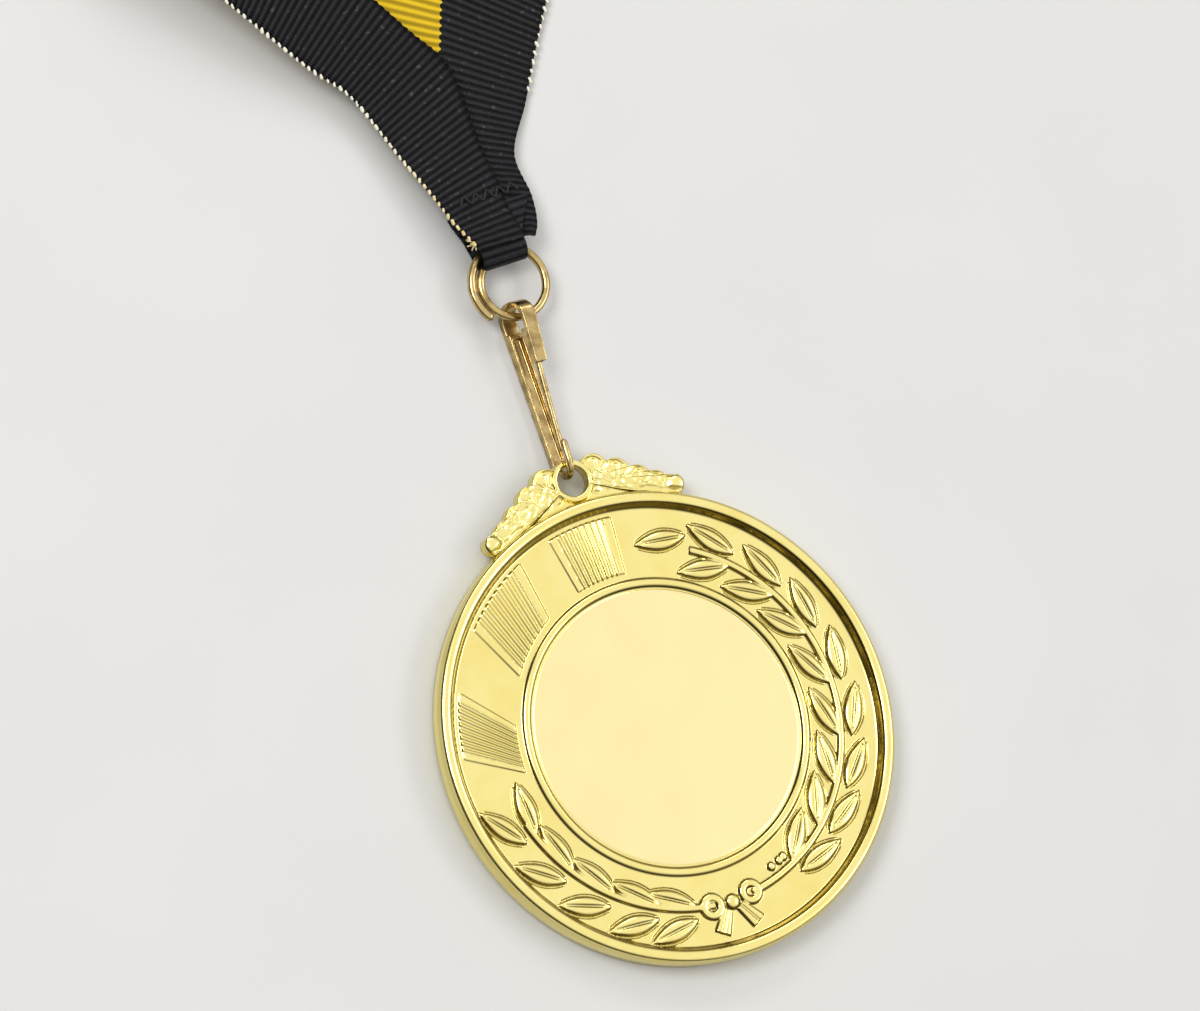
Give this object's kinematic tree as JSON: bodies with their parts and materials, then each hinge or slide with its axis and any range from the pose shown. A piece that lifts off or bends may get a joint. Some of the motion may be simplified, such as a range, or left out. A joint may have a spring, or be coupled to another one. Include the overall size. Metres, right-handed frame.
{
  "type": "award medal on a neck ribbon",
  "caption": "Gold-coloured round award medal with a laurel and rays in relief, a scalloped crest, a snap clip, a split ring and a black and yellow neck ribbon folded flat",
  "frame": {"origin": "middle of the medal's flat back face", "axes": "+Y runs from the middle of the disc to its crest, +Z points out of the decorated face, +X to the right as the face is read"},
  "size_m": [0.062, 0.144, 0.0065],
  "materials": {
    "gold": "polished gold plate, satin in the centre",
    "antique_gold": "paler polished gold plate",
    "black_grosgrain": "ribbed black grosgrain",
    "yellow_grosgrain": "ribbed yellow grosgrain",
    "black_thread": "sewing thread"
  },
  "bodies": {
    "ribbon": {"ribbon_ring_loop": "black_grosgrain", "ribbon_left_strap": "black_grosgrain", "ribbon_right_strap": "yellow_grosgrain", "ribbon_folded_stack": "black_grosgrain", "bar_tack_thread": "black_thread"},
    "ring": {"split_ring": "antique_gold"},
    "clip": {"clip_body": "antique_gold"},
    "gate": {"clip_gate": "antique_gold"},
    "medal": {"medal_disc": "gold"}
  },
  "joints": [
    {"name": "ring_in_ribbon", "type": "hinge", "parent": "ribbon", "child": "ring", "pos_m": [0.002, 0.05265, 0.0019], "axis": [-1, 0, 0], "range_deg": [0, 75]},
    {"name": "clip_on_ring", "type": "hinge", "parent": "ring", "child": "clip", "pos_m": [0.0012, 0.04516, 0.00208], "axis": [-1, 0, 0], "range_deg": [0, 45]},
    {"name": "medal_on_clip", "type": "hinge", "parent": "clip", "child": "medal", "pos_m": [0, 0.02935, 0.002], "axis": [-1, 0, 0], "range_deg": [0, 60]},
    {"name": "gate_spring", "type": "hinge", "parent": "clip", "child": "gate", "pos_m": [0.00142, 0.04374, 0.0033], "axis": [0.9976, -0.0687, 0], "range_deg": [0, 5], "stiffness_Nm_per_rad": 0.002}
  ]
}
